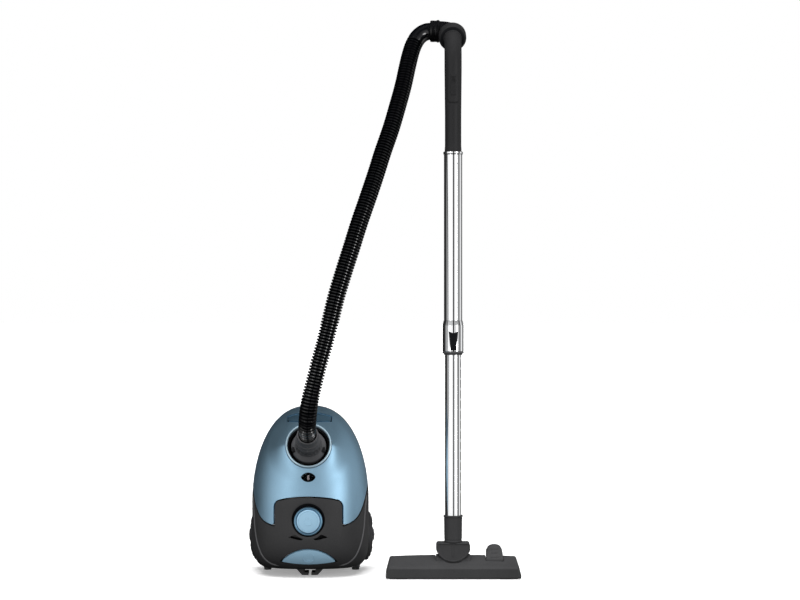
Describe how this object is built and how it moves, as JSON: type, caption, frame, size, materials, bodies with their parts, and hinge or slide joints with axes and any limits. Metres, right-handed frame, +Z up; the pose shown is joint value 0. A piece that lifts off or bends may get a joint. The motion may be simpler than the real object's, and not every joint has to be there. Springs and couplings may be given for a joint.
{
  "type": "canister vacuum cleaner",
  "caption": "Bagged canister vacuum cleaner with corrugated hose, telescopic chrome wand and floor head, stored upright on its rear end.",
  "frame": {"origin": "on the floor, at the middle of the space that the canister and the wand take up, without the hose", "axes": "+X from the canister to the wand, +Y away from the side that shows the lid, +Z up along the wand"},
  "size_m": [0.538, 0.3008, 1.0974],
  "materials": {
    "housing": "fine moulded texture, dark grey",
    "inner_plastic": "plain moulded",
    "white_plastic": "plain moulded",
    "cover_blue": "metallic light blue lacquer",
    "accent_blue": "light blue, satin",
    "steel": "zinc plated",
    "chrome_tube": "polished",
    "copper": "enamelled copper and laminated iron",
    "rubber": "matt black",
    "foam": "filter fleece",
    "paper": "dust bag paper",
    "card": "grey card",
    "black_plastic": "satin black",
    "window": "smoked",
    "indicator_red": "red",
    "hose_black": "corrugated, satin",
    "handle_plastic": "satin, fine texture",
    "head_plastic": "fine moulded texture",
    "bristle": "short black bristle",
    "tyre": "ribbed"
  },
  "bodies": {
    "canister": {"lower_housing": "housing", "rear_housing": "housing", "bulkhead": "inner_plastic", "filter_frame": "white_plastic", "motor_filter": "foam", "fan_case": "steel", "motor_stator": "steel", "motor_mounts": "rubber", "reel_bracket": "inner_plastic", "rewind_spring": "steel", "power_switch": "black_plastic", "cord_outlet_grommet": "rubber", "exhaust_grille": "housing", "exhaust_filter": "foam", "bag_holder": "accent_blue", "bag_collar": "card", "dust_bag": "paper", "cover_seal": "rubber", "hinge_pins": "steel", "housing_screws": "steel", "parking_bracket": "housing", "rear_feet": "rubber", "wheel_axles": "steel", "wheel_caps": "housing", "button_bezel": "black_plastic", "hose": "hose_black", "swivel_elbow": "black_plastic"},
    "motor_rotor": {"motor_rotor": "copper"},
    "cord_drum": {"cord_drum": "white_plastic"},
    "power_button": {"power_button": "accent_blue"},
    "rewind_pedal": {"rewind_pedal": "accent_blue"},
    "left_wheel": {"left_wheel": "tyre"},
    "right_wheel": {"right_wheel": "tyre"},
    "castor_fork": {"castor_fork": "black_plastic"},
    "castor_wheel": {"castor_wheel": "rubber"},
    "cover": {"dust_cover": "cover_blue", "socket_ring": "accent_blue", "socket_bowl": "black_plastic", "window_lens": "window"},
    "bag_indicator": {"bag_indicator": "indicator_red"},
    "cover_latch": {"cover_latch": "cover_blue"},
    "hose_cuff": {"hose_cuff": "housing"},
    "left_cuff_tab": {"left_cuff_tab": "housing"},
    "right_cuff_tab": {"right_cuff_tab": "housing"},
    "wand": {"handle": "handle_plastic", "upper_tube": "chrome_tube", "lock_collar": "chrome_tube", "tube_end_ring": "black_plastic"},
    "air_slider": {"air_slider": "black_plastic"},
    "lock_button": {"lock_button": "black_plastic"},
    "lower_tube": {"lower_tube": "chrome_tube", "neck": "head_plastic"},
    "yoke": {"yoke": "head_plastic"},
    "head": {"head_cover": "head_plastic", "sole_plate": "head_plastic", "pedal_pin": "steel", "roller_axles": "steel"},
    "head_rollers": {"head_rollers": "rubber"},
    "floor_pedal": {"floor_pedal": "head_plastic"},
    "brush_strips": {"brush_strips": "bristle"}
  },
  "joints": [
    {"name": "motor_spin", "type": "hinge", "parent": "canister", "child": "motor_rotor", "pos_m": [-0.1805, 0.0084, 0.08], "axis": [0, 0, 1], "continuous": true},
    {"name": "reel_turn", "type": "hinge", "parent": "canister", "child": "cord_drum", "pos_m": [-0.0865, 0.0024, 0.082], "axis": [1, 0, 0], "continuous": true},
    {"name": "power_press", "type": "slide", "parent": "canister", "child": "power_button", "axis": [0, 1, 0], "range_m": [0, 0.0025], "stiffness_N_per_m": 400},
    {"name": "rewind_press", "type": "slide", "parent": "canister", "child": "rewind_pedal", "axis": [0, 1, 0], "range_m": [0, 0.005], "stiffness_N_per_m": 500},
    {"name": "left_wheel_turn", "type": "hinge", "parent": "canister", "child": "left_wheel", "pos_m": [-0.2555, 0.0704, 0.07], "axis": [1, 0, 0], "continuous": true},
    {"name": "right_wheel_turn", "type": "hinge", "parent": "canister", "child": "right_wheel", "pos_m": [-0.0295, 0.0704, 0.07], "axis": [1, 0, 0], "continuous": true},
    {"name": "castor_swivel", "type": "hinge", "parent": "canister", "child": "castor_fork", "pos_m": [-0.1425, 0.0864, 0.27], "axis": [0, 1, 0], "continuous": true},
    {"name": "castor_roll", "type": "hinge", "parent": "castor_fork", "child": "castor_wheel", "pos_m": [-0.1425, 0.1074, 0.257], "axis": [1, 0, 0], "continuous": true},
    {"name": "cover_hinge", "type": "hinge", "parent": "canister", "child": "cover", "pos_m": [-0.1425, -0.0702, 0.1055], "axis": [1, 0, 0], "range_deg": [0, 65], "deforming": ["hose"]},
    {"name": "indicator_slide", "type": "slide", "parent": "cover", "child": "bag_indicator", "axis": [1, 0, 0], "range_m": [0, 0.006], "stiffness_N_per_m": 20},
    {"name": "latch_press", "type": "slide", "parent": "cover", "child": "cover_latch", "axis": [0, 1, 0], "range_m": [0, 0.0025], "stiffness_N_per_m": 600},
    {"name": "cuff_turn", "type": "hinge", "parent": "cover", "child": "hose_cuff", "pos_m": [-0.1425, -0.0676, 0.259], "axis": [0, -0.8829, 0.4695], "continuous": true},
    {"name": "left_tab_press", "type": "slide", "parent": "hose_cuff", "child": "left_cuff_tab", "axis": [1, 0, 0], "range_m": [0, 0.002], "stiffness_N_per_m": 800},
    {"name": "right_tab_press", "type": "slide", "parent": "hose_cuff", "child": "right_cuff_tab", "axis": [-1, 0, 0], "range_m": [0, 0.002], "stiffness_N_per_m": 800},
    {"name": "handle_swivel", "type": "hinge", "parent": "canister", "child": "wand", "pos_m": [0.138, 0.00475, 1.05919], "axis": [0, -0.9063, -0.4226], "range_deg": [0, 110]},
    {"name": "air_slide", "type": "slide", "parent": "wand", "child": "air_slider", "axis": [0, 0, -1], "range_m": [0, 0.012]},
    {"name": "lock_slide", "type": "slide", "parent": "wand", "child": "lock_button", "axis": [0, 0, 1], "range_m": [0, 0.005], "stiffness_N_per_m": 500},
    {"name": "tube_slide", "type": "slide", "parent": "wand", "child": "lower_tube", "axis": [0, 0, 1], "range_m": [0, 0.28]},
    {"name": "neck_swivel", "type": "hinge", "parent": "lower_tube", "child": "yoke", "pos_m": [0.138, -0.0406, 0.06], "axis": [0, 0, 1], "range_deg": [-60, 60]},
    {"name": "head_tilt", "type": "hinge", "parent": "yoke", "child": "head", "pos_m": [0.138, -0.0386, 0.03], "axis": [1, 0, 0], "range_deg": [-8, 55]},
    {"name": "pedal_rock", "type": "hinge", "parent": "head", "child": "floor_pedal", "pos_m": [0.138, -0.0366, 0.027], "axis": [1, 0, 0], "range_deg": [-20, 0]},
    {"name": "brush_slide", "type": "slide", "parent": "head", "child": "brush_strips", "axis": [0, 0, 1], "range_m": [-0.0035, 0]},
    {"name": "roller_turn", "type": "hinge", "parent": "head", "child": "head_rollers", "pos_m": [0.138, -0.0176, 0.008], "axis": [1, 0, 0], "continuous": true}
  ],
  "couplings": [
    {"joint": "brush_slide", "follows": "pedal_rock", "m_per_rad": 0.010027}
  ]
}
